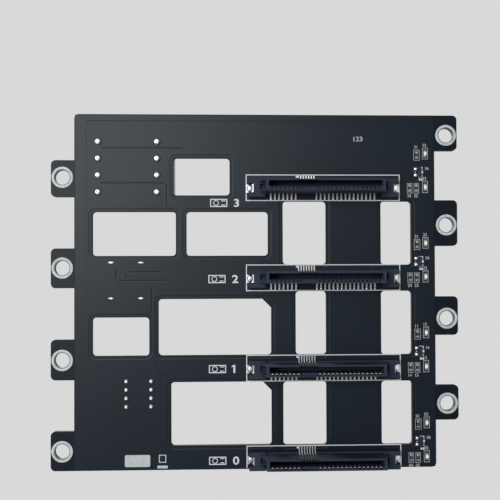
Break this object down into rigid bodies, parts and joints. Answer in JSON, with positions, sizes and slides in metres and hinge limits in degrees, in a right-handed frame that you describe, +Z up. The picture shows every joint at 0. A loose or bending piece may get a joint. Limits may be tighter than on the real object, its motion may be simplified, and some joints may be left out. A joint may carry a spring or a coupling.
{
  "type": "drive backplane board",
  "caption": "Flat server board with drive sockets in rows on its front, cable headers behind, cooling windows between them and screw tabs at both sides.",
  "frame": {"origin": "centre of the board's outline, tabs included, on its rear face", "axes": "+X to the right and +Z up as seen from the drive side, +Y out of the rear face; drives plug in from -Y and cables from +Y"},
  "size_m": [0.1238, 0.0293, 0.1081],
  "materials": {
    "circuit_board": "satin black solder mask over glass-epoxy laminate, with light grey print",
    "socket_plastic": "moulded blue-black high-temperature plastic",
    "contact_metal": "plated copper alloy strip, softly bright",
    "tinned_metal": "matte tin plating",
    "solder": "smooth bright solder",
    "power_header_nylon": "natural nylon, slightly waxy",
    "fan_header_nylon": "natural nylon, slightly waxy",
    "cage_steel": "tin-plated sheet steel",
    "chip_ceramic": "glazed black ceramic",
    "light_lens": "milky clear resin",
    "chip_moulding": "fine matt black moulding"
  },
  "bodies": {
    "root": {"board": "circuit_board", "bay_0_socket_housing": "socket_plastic", "bay_0_signal_contacts": "contact_metal", "bay_0_power_contacts": "contact_metal", "bay_0_second_port_contacts": "contact_metal", "bay_0_solder_tabs": "tinned_metal", "bay_1_socket_housing": "socket_plastic", "bay_1_signal_contacts": "contact_metal", "bay_1_power_contacts": "contact_metal", "bay_1_second_port_contacts": "contact_metal", "bay_1_solder_tabs": "tinned_metal", "bay_2_socket_housing": "socket_plastic", "bay_2_signal_contacts": "contact_metal", "bay_2_power_contacts": "contact_metal", "bay_2_second_port_contacts": "contact_metal", "bay_2_solder_tabs": "tinned_metal", "bay_3_socket_housing": "socket_plastic", "bay_3_signal_contacts": "contact_metal", "bay_3_power_contacts": "contact_metal", "bay_3_second_port_contacts": "contact_metal", "bay_3_solder_tabs": "tinned_metal", "power_header_left": "power_header_nylon", "power_pins_left": "tinned_metal", "power_solder_left": "solder", "fan_header_left": "fan_header_nylon", "fan_pins_left": "tinned_metal", "fan_solder_left": "solder", "power_header_right": "power_header_nylon", "power_pins_right": "tinned_metal", "power_solder_right": "solder", "fan_header_right": "fan_header_nylon", "fan_pins_right": "tinned_metal", "fan_solder_right": "solder", "data_port_cage": "cage_steel", "data_port_insulator": "socket_plastic", "data_port_contacts": "contact_metal", "data_port_solder": "solder", "resistor_bodies": "chip_ceramic", "resistor_ends": "tinned_metal", "status_light_lenses": "light_lens", "status_light_ends": "tinned_metal", "transistor_bodies": "chip_moulding", "transistor_legs": "tinned_metal"}
  },
  "joints": []
}
